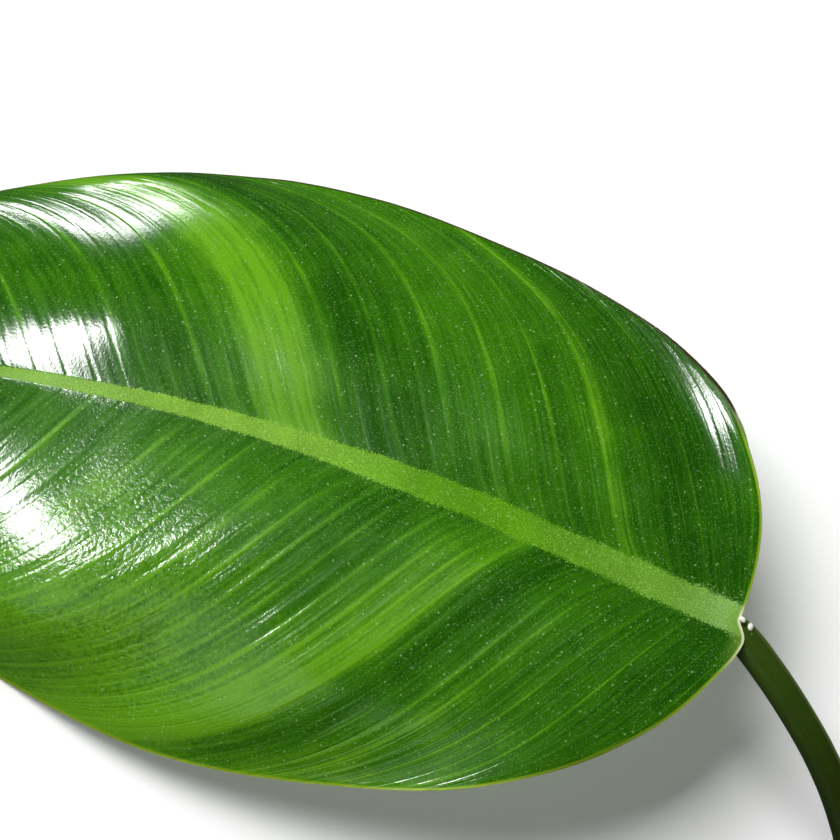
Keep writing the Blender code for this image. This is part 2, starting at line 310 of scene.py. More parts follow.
# %% Side veins
MIDRIB_HALF_WIDTH = (
    (0, 3.9 * MM), (0.25, 3.6 * MM), (0.47, 2.2 * MM), (0.7, 1.3 * MM), (0.94, 0.9 * MM), (1, 0))
MARGIN_CORNER = {"far": 0.150, "near": 0.140}
COLUMN_SPREAD = 1.8
MARGIN_SPREAD = 0.865
LEAVING_ANGLE = math.radians(60)
ARRIVING_ANGLE = math.radians(11)
LEAVING_PULL = 0.36
ARRIVING_PULL = 0.46
HOOK_LENGTH = 2.4 * MM
HOOK_REACH = 3.5 * MM
HOOK_START = 0.3
BASE_FADE = 0.25
print("side veins leave the midrib at", round(math.degrees(LEAVING_ANGLE)), "degrees")

# %% [markdown]
# ## The arched sheet
#
# Seen from the end, the blade is an arch: it droops from the midrib to both margins. On top of
# that come a shallow valley that the midrib lies in, its rounded crown, and broad pleats
# that follow the veins. Each is a short formula of the column and of the share across, which
# keeps them easy to change one by one. Wax shows every slope, so the sheet also gets a handful
# of swells and hollows, about a millimetre high, which place its shine.

# %% Arch, valley and pleats
MIDRIB_CROWN = 0.12 * MM
VALLEY_DEPTH = ((0, 1.6), (0.14, 2.9), (1, 2.9))
VALLEY_WIDTH = 11.5 * MM
ARCH_SWELL = {"far": 0.5 * MM, "near": 1.25 * MM}
PLEAT_HEIGHT = 1.05 * MM
PLEAT_EASING = 0.45
SWELL_RADIUS = 16 * MM
SWELL_FADE = 0.35
SWELLS = (
    (20, 36, -1.2), (34, 30, -1.2), (34, 46, -0.5), (44, -38, -0.7), (66, -22, -0.9), (82, -42, 0.6),
    (82, 20, -0.4), (98, -30, 0.9), (98, 8, -0.8), (114, -30, 0.5), (114, -8, -1.1), (130, -42, 0.9),
    (130, -30, 1.1), (130, -14, -1.0), (146, -46, 1.6), (146, -30, 1.5), (146, -10, -1.4), (146, 20, 0.8),
    (146, 36, 1.4))
PLEATS = {
    "far": ((0, 0), (0.11, -0.6), (0.29, 0.9), (0.37, 0.5), (0.47, -0.7), (0.56, 0.9),
            (0.64, -0.5), (0.71, 0.5), (0.80, -0.3), (0.90, 0.2), (1, 0)),
    "near": ((0, 0), (0.13, 0.0), (0.25, 0.0), (0.33, -0.2), (0.39, 0.7), (0.50, -0.6),
             (0.58, 0.7), (0.68, -0.4), (0.79, 0.3), (0.90, -0.1), (1, 0))}

MIDRIB_SAMPLES = 300

midrib_line = smooth_line(MIDRIB, np.linspace(0, 1, MIDRIB_SAMPLES))


def level_with(along, number):
    """Read the midrib's distance across (1) or height (2) level with a point."""
    return np.interp(along, midrib_line[:, 0], midrib_line[:, number])


def droop(along, edge, sheet):
    """Give the height of a point, from the midrib level with it down to the margin."""
    middle = level_with(along, 2)
    return middle + (edge - middle) * sheet**2


print("pleats:", {name: len(pairs) - 2 for name, pairs in PLEATS.items()})

# %% [markdown]
# ## One half of the blade
#
# Both halves are built by the same steps, on their own margin, corner and pleats, and mirrored.
# So one class holds the steps, and each half is one object of it. A point is first laid on its
# vein in plan, then lifted onto the arch, and last moved by the relief.

# %% One half of the blade
class Half:
    """One half of the blade, with places given by column, band share and sheet share.

    The band share goes over the midrib's half width, and the sheet share from there to
    the margin.
    """

    def __init__(self, name):
        self.name = name
        self.sign = 1 if name == "far" else -1
        self.margin = FAR_MARGIN if name == "far" else NEAR_MARGIN
        self.corner = MARGIN_CORNER[name]
        self.margin_length = line_length(self.margin)

    def vein_plan(self, column, band, sheet):
        """Place points in plan on veins that leave the midrib and bend towards the tip."""
        along_midrib = column ** COLUMN_SPREAD
        along_margin = self.corner + (1 - self.corner) * column ** MARGIN_SPREAD
        middle = smooth_line(MIDRIB, along_midrib)[..., :2]
        direction = plan_direction(MIDRIB, along_midrib)
        half_width = plain_value(MIDRIB_HALF_WIDTH, along_midrib)[..., None]
        across = turned(direction, self.sign * math.pi / 2)
        start = middle + across * half_width
        end = smooth_line(self.margin, along_margin)[..., :2]
        reach = np.linalg.norm(end - start, axis=-1, keepdims=True)
        arrival = turned(plan_direction(self.margin, along_margin), self.sign * ARRIVING_ANGLE)
        first = start + turned(direction, self.sign * LEAVING_ANGLE) * reach * LEAVING_PULL
        second = end - arrival * reach * ARRIVING_PULL
        t = sheet[..., None]
        vein = (1 - t)**3 * start + 3 * t * (1 - t)**2 * first + 3 * t**2 * (1 - t) * second + t**3 * end
        hook = HOOK_LENGTH * band[..., None]**2 * np.exp(-t * reach / HOOK_REACH)
        hook = hook * np.clip(column / HOOK_START, 0, 1)[..., None]**2 * (1 - column[..., None])
        return vein - across * half_width * (1 - band[..., None]) - direction * hook

    def base_line(self, band, sheet):
        """Place points on the margin's first stretch, from the joint round the basal lobe."""
        at_band = MIDRIB_HALF_WIDTH[0][1] / self.margin_length
        return smooth_line(self.margin, at_band * band + (self.corner - at_band) * sheet)

    def surface(self, column, band, sheet):
        """Place points on the upper face, with its relief but without the side veins."""
        zero = np.zeros_like(column)
        base = self.base_line(band, sheet)
        fade = np.clip(1 - column / BASE_FADE, 0, 1) ** 2
        plan = self.vein_plan(column, band, sheet)
        plan_at_base = self.vein_plan(zero, band, sheet)
        plan = plan + (base[..., :2] - plan_at_base) * fade[..., None]
        along_margin = self.corner + (1 - self.corner) * column ** MARGIN_SPREAD
        edge = smooth_line(self.margin, along_margin)[..., 2]
        height = droop(plan[..., 0], edge, sheet)
        corner_height = smooth_line(self.margin, np.array(self.corner))[2]
        height_at_base = droop(base[..., 0], corner_height, sheet)
        height = height + (base[..., 2] - height_at_base) * fade
        height = height + self.relief(column, band, sheet, plan)
        return np.stack([-plan[..., 0], plan[..., 1], height], axis=-1)

    def relief(self, column, band, sheet, plan):
        """Add up the midrib's valley and crown, the pleats, the arch's swell and the swells."""
        near_tip = 1 - column**3
        across = np.abs(plan[..., 1] - level_with(plan[..., 0], 1))
        valley = smooth_value(VALLEY_DEPTH, column) * MM * np.exp(-(across / VALLEY_WIDTH)**2) * near_tip
        crown = MIDRIB_CROWN * (1 - band**2) * near_tip
        rising = (1 - (1 - sheet)**3) * (1 - PLEAT_EASING * sheet**2)
        pleat = smooth_value(PLEATS[self.name], column) * PLEAT_HEIGHT * rising
        arch = ARCH_SWELL[self.name] * 4 * sheet * (1 - sheet) * near_tip
        inside = np.clip((1 - sheet) / SWELL_FADE, 0, 1) ** 0.7
        for along, aside, height in SWELLS:
            apart = np.linalg.norm(plan - np.array((along, aside)) * MM, axis=-1)
            arch = arch + height * MM * np.exp(-(apart / SWELL_RADIUS)**2) * inside
        return pleat + arch + crown - valley


print("margins are", [round(Half(name).margin_length / MM) for name in ("far", "near")], "mm round")

# %% [markdown]
# ## Veins as ridges
#
# Fine parallel veins lie about 2.4 mm apart, and every third one is stronger. In the shine they
# read as streaks, so they are real ridges in the mesh, about a tenth of a millimetre high. A
# bend of the count lets them fan out a little more than the grid does towards the margin.

# %% Vein pattern
MAIN_VEINS = 36
FINE_PER_MAIN = 3
MAIN_RIDGE = 0.08 * MM
FINE_RIDGE = 0.02 * MM
RIDGE_RISE = 6
RIDGE_START = 0.1
RIDGE_EASING = 0.75
VEIN_BEND = {
    "far": ((0, 0), (0.14, 0.02), (0.27, 0.07), (0.40, 0.03), (0.6, 0), (1, 0)),
    "near": ((0, 0), (0.15, 0.035), (0.27, 0.06), (0.38, 0.012), (0.5, 0), (1, 0))}
STRONG_VEINS = {
    "far": (0.03, 0.155, 0.292, 0.355, 0.41, 0.46, 0.51, 0.55, 0.58, 0.605, 0.65, 0.70, 0.76, 0.83, 0.91),
    "near": (0.03, 0.08, 0.16, 0.22, 0.285, 0.31, 0.388, 0.41, 0.435, 0.46, 0.49, 0.515, 0.54, 0.57,
             0.61, 0.66, 0.72, 0.79, 0.87, 0.94)}
STRONG_WIDTH = 0.0032


def vein_count(name, column, sheet):
    """Give the place on the vein pattern, which bends away from the columns near the margin."""
    return column + smooth_value(VEIN_BEND[name], column) * sheet**2


def strong_share(name, run):
    """Give 1 on a strong vein's line and 0 beside it."""
    apart = np.min(np.abs(run[:, None] - np.array(STRONG_VEINS[name])[None, :]), axis=1)
    return np.clip(1 - apart / STRONG_WIDTH, 0, 1)


def ridges(run, strong, column, sheet):
    """Give the height of the main and fine veins' ridges, which fade in from the joint."""
    main = 0.5 + 0.5 * np.cos(2 * math.pi * run * MAIN_VEINS)
    fine = 0.5 + 0.5 * np.cos(2 * math.pi * run * MAIN_VEINS * FINE_PER_MAIN)
    rising = np.clip(RIDGE_RISE * sheet, 0, 1) * np.clip(column / RIDGE_START, 0, 1)
    rising = rising * (1 - RIDGE_EASING * sheet**2)
    return (MAIN_RIDGE * main**4 + FINE_RIDGE * fine + 0.5 * MAIN_RIDGE * strong) * rising


print("fine veins to a side:", MAIN_VEINS * FINE_PER_MAIN)

# %% [markdown]
# ## Light and dark bands
#
# The blade isn't one green. Broad bands follow the veins, from deep green to a fresh yellow green
# on the crests. They are partly the leaf's own greens and partly painted light and shade: the
# pleats' crests are painted lighter and their slopes darker. A list of tones by vein count holds
# them, 0 for the deepest and 1 for the freshest, and the shader later turns the tone into colour.

# %% Tones
# Tone bands: the leaf's own greens plus painted light and shade on the pleats.
TONE_BANDS_AND_PAINTED_SHADE = {
    "far": ((0, 0.24), (0.02, 0.19), (0.10, 0.07), (0.20, 0.11), (0.26, 0.24), (0.288, 0.62), (0.305, 0.42),
            (0.34, 0.29), (0.40, 0.44), (0.45, 0.36), (0.49, 0.20), (0.53, 0.08), (0.548, 0.30),
            (0.575, 0.88), (0.60, 0.92), (0.63, 0.45), (0.66, 0.20), (0.75, 0.25), (0.86, 0.45), (1, 0.5)),
    "near": ((0, 0.25), (0.05, 0.16), (0.12, 0.18), (0.17, 0.32), (0.24, 0.36), (0.28, 0.5), (0.32, 0.34),
             (0.35, 0.16), (0.37, 0.32), (0.392, 0.84), (0.42, 0.72), (0.45, 0.5), (0.48, 0.32),
             (0.52, 0.36), (0.56, 0.42), (0.64, 0.45), (0.8, 0.4), (1, 0.5))}
# Towards the margin the tone rises, strongly on the near half: partly fresher green, partly painted sheen
# where the near half's wax shines.
MARGIN_TONE_AND_PAINTED_SHEEN = {"far": 0.06, "near": 0.5}
TONE_MIDDLE = 0.4
print("tone bands:", {name: len(pairs) for name, pairs in TONE_BANDS_AND_PAINTED_SHADE.items()})

# %% [markdown]
# ## Rows of the grid
#
# The blade starts as one flat grid. Its columns become veins and its rows run from margin to
# margin. They lie closer together on the midrib and at both edges, where the leaf bends most, so
# a modest grid still gives a smooth outline.

# %% Rows of the grid
COLUMNS = 600
BAND_ROWS = 6
SHEET_ROWS = 24
HALF_ROWS = BAND_ROWS + SHEET_ROWS
BAND_SPREAD = 0.3
ROW_SPREAD = 1.25
ROW_CROWDING = 1.35


def row_shares(rows):
    """Turn row numbers, counted from the midrib, into shares over the band and the sheet."""
    band = np.clip(rows / BAND_ROWS, 0, 1)
    band = band * (1 + BAND_SPREAD - BAND_SPREAD * band)
    step = np.clip((rows - BAND_ROWS) / SHEET_ROWS, 0, 1)
    sheet = 1 - (1 - step**ROW_SPREAD) ** ROW_CROWDING
    return band, sheet


print("grid of", COLUMNS, "by", 2 * HALF_ROWS)

# %% [markdown]
# ## The curl of the margin
#
# A stiff leaf curls a little where it ends: inside the far margin lies a furrow by the base and
# a soft lip further on, and inside the near margin a low swelling. These follow the margin and
# not the veins, so each point first looks up how far off the margin is. A search tree finds
# that for the whole grid in a moment.

# %% Margin
MARGIN_SAMPLES = 1500
LIP_WIDTH = 8 * MM
LIP_HEIGHT = {
    "far": ((0, 0), (0.45, 0), (0.53, 1.7), (0.60, 3.5), (0.70, 2.2), (0.84, 0), (1, 0)),
    "near": ((0, 0), (1, 0))}
FURROW_PLACE = 9.0 * MM
FURROW_WIDTH = 6.7 * MM
FURROW_DEPTH = {
    "far": ((0, 0), (0.06, 0), (0.10, 3.1), (0.17, 2.9), (0.26, 0.7), (0.36, 0.3), (0.5, 0), (1, 0)),
    "near": ((0, 0), (0.48, 0), (0.58, -2.2), (0.70, -2.2), (0.82, 0), (1, 0))}


def nearest_margin(points):
    """Find how far each point is from the margin seen from above, and where along it."""
    shares = np.linspace(0, 1, MARGIN_SAMPLES)
    line = np.concatenate([smooth_line(margin, shares) for margin in (FAR_MARGIN, NEAR_MARGIN)])
    tree = KDTree(len(line))
    for number, (along, across, _) in enumerate(line):
        tree.insert((-along, across, 0), number)
    tree.balance()
    found = [tree.find((point[0], point[1], 0)) for point in points]
    number = np.array([item[1] for item in found])
    return np.array([item[2] for item in found]), number >= MARGIN_SAMPLES, shares[number % MARGIN_SAMPLES]


def rolled_rim(from_edge, on_near, share):
    """Give the height of the lip less the furrow inside the margin, which catch the windows."""
    lip, furrow = [
        np.where(on_near, smooth_value(sizes["near"], share), smooth_value(sizes["far"], share)) * MM
        for sizes in (LIP_HEIGHT, FURROW_DEPTH)]
    return (lip * np.exp(-(from_edge / LIP_WIDTH) ** 2)
            - furrow * np.exp(-((from_edge - FURROW_PLACE) / FURROW_WIDTH) ** 2))


print("furrow", FURROW_PLACE / MM, "mm inside the margin")

# %% [markdown]
# ## Notes on the vertices
#
# The shader can't measure the leaf, so what it needs is noted on the vertices while the grid is
# laid: the tone, the colour of the margin and how creased the skin is. The near half is creased
# in one patch, as a leaf is where it was once bent. The thickness and the keel's depth are noted
# too, for the underside.

# %% Colour and body notes
CREAM_END = {"far": 0.012, "near": 0.042}
CREAM_START = 1.4
BROWN_START = 0.12
BROWN_RISE = 4
CREASED_PLACE = (124 * MM, -38 * MM)
CREASED_RADIUS = 33 * MM
BLADE_THICKNESS = 0.7 * MM
EDGE_THICKNESS = 0.3 * MM
EDGE_TAPER = 3 * MM
KEEL_DEPTH = 7.2 * MM
KEEL_SHARE = ((0, 1.0), (0.08, 0.86), (0.3, 0.52), (0.6, 0.24), (1, 0.0))


def tone_note(far, run, sheet):
    """Give the tone of the band that each point lies in, shifted towards the margin; on the near half that
    lift is partly painted sheen.
    """
    tone = np.where(far, smooth_value(TONE_BANDS_AND_PAINTED_SHADE["far"], np.clip(run, 0, 1)),
                    smooth_value(TONE_BANDS_AND_PAINTED_SHADE["near"], np.clip(run, 0, 1)))
    return tone + np.where(far, MARGIN_TONE_AND_PAINTED_SHEEN["far"], MARGIN_TONE_AND_PAINTED_SHEEN["near"]) * (sheet - TONE_MIDDLE)


def margin_notes(on_near, share):
    """Give how cream and how brown the margin is beside each point."""
    cream_end = np.where(on_near, CREAM_END["near"], CREAM_END["far"])
    cream = np.clip(CREAM_START - CREAM_START * share / cream_end, 0, 1)
    return cream, np.where(on_near, 0, np.clip((share / BROWN_START - 1) * BROWN_RISE, 0, 1))


# The creased patch has real creases in the relief and painted sheen in the green.
def creased_note(place):
    """Give how creased the skin is: 1 in the middle of the patch and fading round it."""
    apart = np.hypot(-place[:, 0] - CREASED_PLACE[0], place[:, 1] - CREASED_PLACE[1])
    return np.exp(-(apart / CREASED_RADIUS) ** 2)


def body_notes(column, band, from_edge):
    """Give the sheet's thickness and the keel's depth under each point."""
    thick = EDGE_THICKNESS + (BLADE_THICKNESS - EDGE_THICKNESS) * np.clip(from_edge / EDGE_TAPER, 0, 1)
    keel = KEEL_DEPTH * plain_value(KEEL_SHARE, column**COLUMN_SPREAD)
    return thick, keel * np.sqrt(np.clip(1 - band**2, 0, 1))


print("creased patch", round(2 * CREASED_RADIUS / MM), "mm wide")

# %% [markdown]
# ## Laying the sheet
#
# Now the flat grid is laid on the leaf in one go: every vertex gets its column and row, its
# place on its half, the ridges and the curl of the margin. All rows come together at the tip, so
# the vertices there are merged.

# %% Lay the sheet
RIDGE_END = 0.125
MARK_START = 0.125
RIB_FALL = 4
BAND_PART = 0.2


def lay_sheet(mesh):
    """Lay the grid on the upper face and note what the shader needs on its vertices."""
    bmesh.ops.create_grid(mesh, x_segments=COLUMNS, y_segments=2 * HALF_ROWS, size=0.5)
    flat = np.array([vert.co for vert in mesh.verts])
    column = np.clip(flat[:, 0] + 0.5, 0, 1)
    rows = flat[:, 1] * 2 * HALF_ROWS
    far = rows >= 0
    band, sheet = row_shares(np.abs(rows))
    run = np.where(far, vein_count("far", column, sheet), vein_count("near", column, sheet))
    strong = np.where(far, strong_share("far", run), strong_share("near", run))
    place = np.where(far[:, None], Half("far").surface(column, band, sheet),
                     Half("near").surface(column, band, sheet))
    place[:, 2] += ridges(run, strong, column, sheet) * np.clip((1 - column) / RIDGE_END, 0, 1)
    from_edge, on_near, share = nearest_margin(place)
    place[:, 2] += rolled_rim(from_edge, on_near, share)
    cream, brown = margin_notes(on_near, share)
    thick, keel = body_notes(column, band, from_edge)
    noted = {
        "tone": tone_note(far, run, sheet),
        "strong": strong * np.clip(sheet / MARK_START, 0, 1),
        "rib": 1 - band - RIB_FALL * sheet,
        "from_edge": from_edge / MM,
        "cream": cream,
        "brown": brown,
        "creased": creased_note(place),
        "thick": thick,
        "keel": keel,
        "run": run,
        "across": np.where(far, 1, -1) * (BAND_PART * band + (1 - BAND_PART) * sheet)}
    layers = {name: mesh.verts.layers.float.new(name) for name in noted}
    for number, vert in enumerate(mesh.verts):
        vert.co = Vector(place[number])
        for name, layer in layers.items():
            vert[layer] = noted[name][number]
    bmesh.ops.remove_doubles(mesh, verts=mesh.verts[:], dist=0.001 * MM)
    bmesh.ops.reverse_faces(mesh, faces=mesh.faces[:])
    mesh.normal_update()


blade_mesh = bmesh.new()
lay_sheet(blade_mesh)
print("sheet has", len(blade_mesh.faces), "faces")

# %% [markdown]
# ## Thickness, keel and rim
#
# The blade is 0.7 mm thick, thinner at the rim, and the midrib stands out below as a keel. A
# Solidify modifier gives one even thickness, so the underside is extruded instead and each new
# vertex is set down by its own depth. Where the margins touch the surface, they are lifted onto
# it. Each kind of face then gets its own finish: the upper face, the underside, the rim, and
# the midrib with the last strip before the rim, which hardly shine.

# %% Give the blade its body
UPPER, UNDER, RIM, DULL = range(4)
RIB_FINISH = 0.02
RIM_FINISH = 1.6


def grow_underside(mesh):
    """Extrude the sheet downwards by its thickness and keel, and mark the kinds of face."""
    thick = mesh.verts.layers.float["thick"]
    keel = mesh.verts.layers.float["keel"]
    rib = mesh.verts.layers.float["rib"]
    from_edge = mesh.verts.layers.float["from_edge"]
    under = mesh.verts.layers.float_vector.new("under")
    up = Vector((0, 0, 1))
    for vert in mesh.verts:
        outward = vert.normal.lerp(up, min(1.0, max(0.0, 4 * vert[rib]))).normalized()
        below = vert.co - outward * vert[thick] - up * vert[keel]
        lift = max(0.0, -below.z)
        vert.co.z += lift
        below.z += lift
        vert[under] = below
    grown = bmesh.ops.extrude_face_region(mesh, geom=mesh.faces[:], use_keep_orig=True)
    lower = set()
    for item in grown["geom"]:
        if isinstance(item, bmesh.types.BMVert):
            item.co = item[under]
            lower.add(item)
    for face in mesh.faces:
        low = sum(vert in lower for vert in face.verts)
        on_rib = min(vert[rib] for vert in face.verts) > RIB_FINISH
        at_rim = max(vert[from_edge] for vert in face.verts) < RIM_FINISH
        if low == len(face.verts):
            face.material_index = UNDER
        elif low:
            face.material_index = RIM
        elif on_rib or at_rim:
            face.material_index = DULL
        else:
            face.material_index = UPPER
    mesh.verts.layers.float_vector.remove(mesh.verts.layers.float_vector["under"])
    bmesh.ops.recalc_face_normals(mesh, faces=mesh.faces[:])


grow_underside(blade_mesh)
print("blade has", len(blade_mesh.faces), "faces")

# %% [markdown]
# ## From a mesh to a piece
#
# The patterns that follow the veins read a UV map, whose first number counts along the blade and
# whose second goes across it. A finished piece is smooth, with sharp edges only where it really
# bends, sits at the origin with its place in its mesh, and rides on the leaf's one body.

# %% Unwrap and finish
SHARP_ANGLE = math.radians(50)


def unwrap(mesh):
    """Make a UV map whose first number counts along the blade and second goes across it."""
    layer = mesh.loops.layers.uv.new("vein_run")
    run = mesh.verts.layers.float["run"]
    across = mesh.verts.layers.float["across"]
    for face in mesh.faces:
        for loop in face.loops:
            loop[layer].uv = (loop.vert[run], 0.5 + 0.5 * loop.vert[across])


def finish_piece(mesh, name, materials):
    """Make the mesh an object at the origin, smooth, with its materials, on the leaf's body."""
    bmesh.ops.translate(mesh, verts=mesh.verts, vec=JOINT)
    data = bpy.data.meshes.new(name)
    mesh.to_mesh(data)
    mesh.free()
    for material in materials:
        data.materials.append(material)
    data.shade_smooth()
    data.set_sharp_from_angle(angle=SHARP_ANGLE)
    piece = bpy.data.objects.new(name, data)
    bpy.context.scene.collection.objects.link(piece)
    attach(piece, "root")
    print(name, "has", sum(len(face.vertices) - 2 for face in data.polygons), "triangles")
    return piece


unwrap(blade_mesh)
print("blade unwrapped on its veins")

# %% [markdown]
# ## The upper face
#
# A philodendron's upper face is smooth wax over a leathery skin. Its green comes from below the
# wax, so it is a base colour under a clear shine. The patterns are noises at the size of the
# real thing, from the clouds in the green down to the meal on the midrib, and lines on the
# blade's own vein count. They are made once, because colour and relief have to agree on where a
# vein or a crease lies.

# %% Patterns of the upper face
MOTTLE_SIZE = 9 * MM
CREASE_SIZE = 1.1 * MM
SKIN_SIZE = 0.6 * MM
GRAIN_SIZE = 0.35 * MM
STREAK_STRETCH = (220, 9, 1)
VEIN_WAVER = 0.0012


def leaf_patterns(tree):
    """Read the notes on the vertices and make the patterns that colour and relief share."""
    found = {}
    for name in ("tone", "strong", "rib", "from_edge", "cream", "brown", "creased"):
        found[name] = add(tree, "Attribute", attribute_name=name).outputs["Fac"]
    place = add(tree, "TexCoord").outputs["Object"]
    for name, size, detail in (("mottle", MOTTLE_SIZE, 3.0), ("skin", SKIN_SIZE, 2.0),
                               ("grain", GRAIN_SIZE, 1.0), ("crease", CREASE_SIZE, 3.0)):
        found[name] = add(tree, "TexNoise", {"Vector": place, "Scale": 1 / size, "Detail": detail})
    parts = add(tree, "SeparateXYZ", {0: add(tree, "UVMap", uv_map="vein_run")})
    run = parts.outputs[0]
    streak_place = add(tree, "CombineXYZ", {0: run, 1: parts.outputs[1]})
    streak_map = add(tree, "Mapping", {"Vector": streak_place, "Scale": STREAK_STRETCH})
    found["streak"] = add(tree, "TexNoise", {"Vector": streak_map, "Scale": 1.0, "Detail": 2.0})
    waver = add(tree, "MapRange", {"Value": found["mottle"], "To Min": -VEIN_WAVER, "To Max": VEIN_WAVER})
    wavy_run = add(tree, "Math", {0: run, 1: waver}, operation="ADD")
    fine_count = add(tree, "Math", {0: wavy_run, 1: MAIN_VEINS * FINE_PER_MAIN}, operation="MULTIPLY")
    fine_saw = add(tree, "Math", {0: fine_count, 1: 1.0}, operation="PINGPONG")
    found["fine_line"] = add(tree, "MapRange", {"Value": fine_saw, "From Min": 0.3, "From Max": 0.02},
                             interpolation_type="SMOOTHSTEP")
    found["place"] = place
    found["run"] = run
    return found


print("skin cells of", round(SKIN_SIZE / MM, 1), "mm")

# %% [markdown]
# ## The green of the sheet
#
# The green runs from deep to fresh with the tone of the bands. Each pattern moves that tone a
# little up or down, so all of them stay within the leaf's own greens, which mixing in separate
# colours wouldn't do. The creases only move it up, which is painted sheen on the creased patch. A
# noise rarely leaves the span from 0.3 to 0.7, so that span is stretched to the swing that each
# pattern gets.

# %% Green of the sheet
DEEP_GREEN = linear("1b5003")
LEAF_GREEN = linear("387608")
FRESH_GREEN = linear("66a417")
NOISE_SPAN = {"From Min": 0.3, "From Max": 0.7}
# The crease swing only lightens: it paints sheen into the creased patch.
GREEN_SWINGS = (("mottle", -0.10, 0.10), ("streak", -0.17, 0.17), ("skin", -0.09, 0.09),
                ("crease", 0.16, 0.54))


def sheet_green(tree, found):
    """Add mottle, streaks, veins, cells and painted sheen on the creased patch to the tone, and turn the
    sum into green.
    """
    mottled, streaked, celled, painted_sheen_in_creases = [
        add(tree, "MapRange", {"Value": found[name], **NOISE_SPAN, "To Min": low, "To Max": high})
        for name, low, high in GREEN_SWINGS]
    veined = add(tree, "Math", {0: found["fine_line"], 1: 0.08}, operation="MULTIPLY")
    marked = add(tree, "Math", {0: found["strong"], 1: 0.42}, operation="MULTIPLY")
    creased_painted_sheen = add(tree, "Math", {0: painted_sheen_in_creases, 1: found["creased"]}, operation="MULTIPLY")
    total = found["tone"]
    for share in (mottled, streaked, veined, marked, celled, creased_painted_sheen):
        total = add(tree, "Math", {0: total, 1: share}, operation="ADD")
    return add(tree, "ValToRGB", {0: total}, stops=(
        (0.0, DEEP_GREEN), (0.5, LEAF_GREEN), (1.0, FRESH_GREEN)))


print("patterns that shift the green:", len(GREEN_SWINGS))

# %% [markdown]
# ## The midrib
#
# The midrib is paler than the sheet and mealy rather than glossy: it looks dusted, and its border
# is soft because the sheet's green thins out towards it. A sharp mask would look painted on, so
# a grain and the mottle push the border to and fro before it is cut.

# %% Midrib
MIDRIB_PALE = linear("7dab54")
MIDRIB_BASE = linear("6fa236")
MIDRIB_MIDDLE = linear("599610")
# The midrib is painted paler towards the tip: partly its own colour, partly painted sheen where the wax
# beside it shines.
MIDRIB_TIP_AND_PAINTED_SHEEN = linear("7fb237")


def with_midrib(tree, found, green):
    """Lay the mealy midrib over the green, and give the colour and where the midrib is."""
    rib_colour = add(tree, "ValToRGB", {0: found["run"]}, stops=(
        (0.0, MIDRIB_PALE), (0.10, MIDRIB_PALE), (0.20, MIDRIB_BASE), (0.40, MIDRIB_MIDDLE),
        (0.48, MIDRIB_MIDDLE), (0.60, MIDRIB_TIP_AND_PAINTED_SHEEN)))
    dust = add(tree, "MapRange", {"Value": found["grain"], "From Min": 0.35, "From Max": 0.75,
                                  "To Min": 0.78, "To Max": 1.25})
    clouds = add(tree, "MapRange", {"Value": found["mottle"], **NOISE_SPAN, "To Min": 0.86, "To Max": 1.14})
    dusting = add(tree, "Math", {0: dust, 1: clouds}, operation="MULTIPLY")
    dusty_rib = add(tree, "VectorMath", {0: rib_colour, "Scale": dusting}, operation="SCALE")
    mealy = add(tree, "MapRange", {"Value": found["grain"], **NOISE_SPAN, "To Min": -0.1, "To Max": 0.1})
    wander = add(tree, "MapRange", {"Value": found["mottle"], **NOISE_SPAN,
                                    "To Min": -0.09, "To Max": 0.09})
    mealy_rib = add(tree, "Math", {0: found["rib"], 1: mealy}, operation="ADD")
    soft_rib = add(tree, "Math", {0: mealy_rib, 1: wander}, operation="ADD")
    on_rib = add(tree, "MapRange", {"Value": soft_rib, "From Min": 0.04, "From Max": 0.28},
                 interpolation_type="SMOOTHSTEP").outputs[0]
    ribbed = add(tree, "Mix", {0: on_rib, 6: green, 7: dusty_rib}, data_type="RGBA")
    return ribbed.outputs[2], on_rib


print("midrib dusted with grains of", round(GRAIN_SIZE / MM, 2), "mm")

# %% [markdown]
# ## Specks and margin
#
# Pale specks are scattered over the whole face. A Voronoi pattern gives dots at an even spacing,
# and the grain adds finer flecks between them. The margin is a thin thread, yellow green on the
# near side, brownish on the far side and cream beside the stalk, where the lobes turn yellow too.

# %% Specks and margin
SPECK_GREEN = linear("a6c983")
EDGE_YELLOW = linear("8fae2c")
EDGE_BROWN = linear("3a3a1c")
EDGE_CREAM = linear("dfe3b4")
LOBE_YELLOW = linear("6f9a35")
SPECK_SIZE = 0.55 * MM
SPECK_SPACING = 4 * SPECK_SIZE


def with_specks(tree, found, colour):
    """Scatter pale dots and finer flecks over the colour."""
    fleck = add(tree, "MapRange", {"Value": found["grain"], "From Min": 0.62, "From Max": 0.76,
                                   "To Max": 0.4})
    speck = add(tree, "TexVoronoi", {"Vector": found["place"], "Scale": 1 / SPECK_SPACING})
    speck_dot = add(tree, "MapRange", {"Value": speck, "From Min": 0.13, "From Max": 0.06, "To Max": 0.55})
    either = add(tree, "Math", {0: fleck, 1: speck_dot}, operation="MAXIMUM")
    return add(tree, "Mix", {0: either, 6: colour, 7: SPECK_GREEN}, data_type="RGBA").outputs[2]


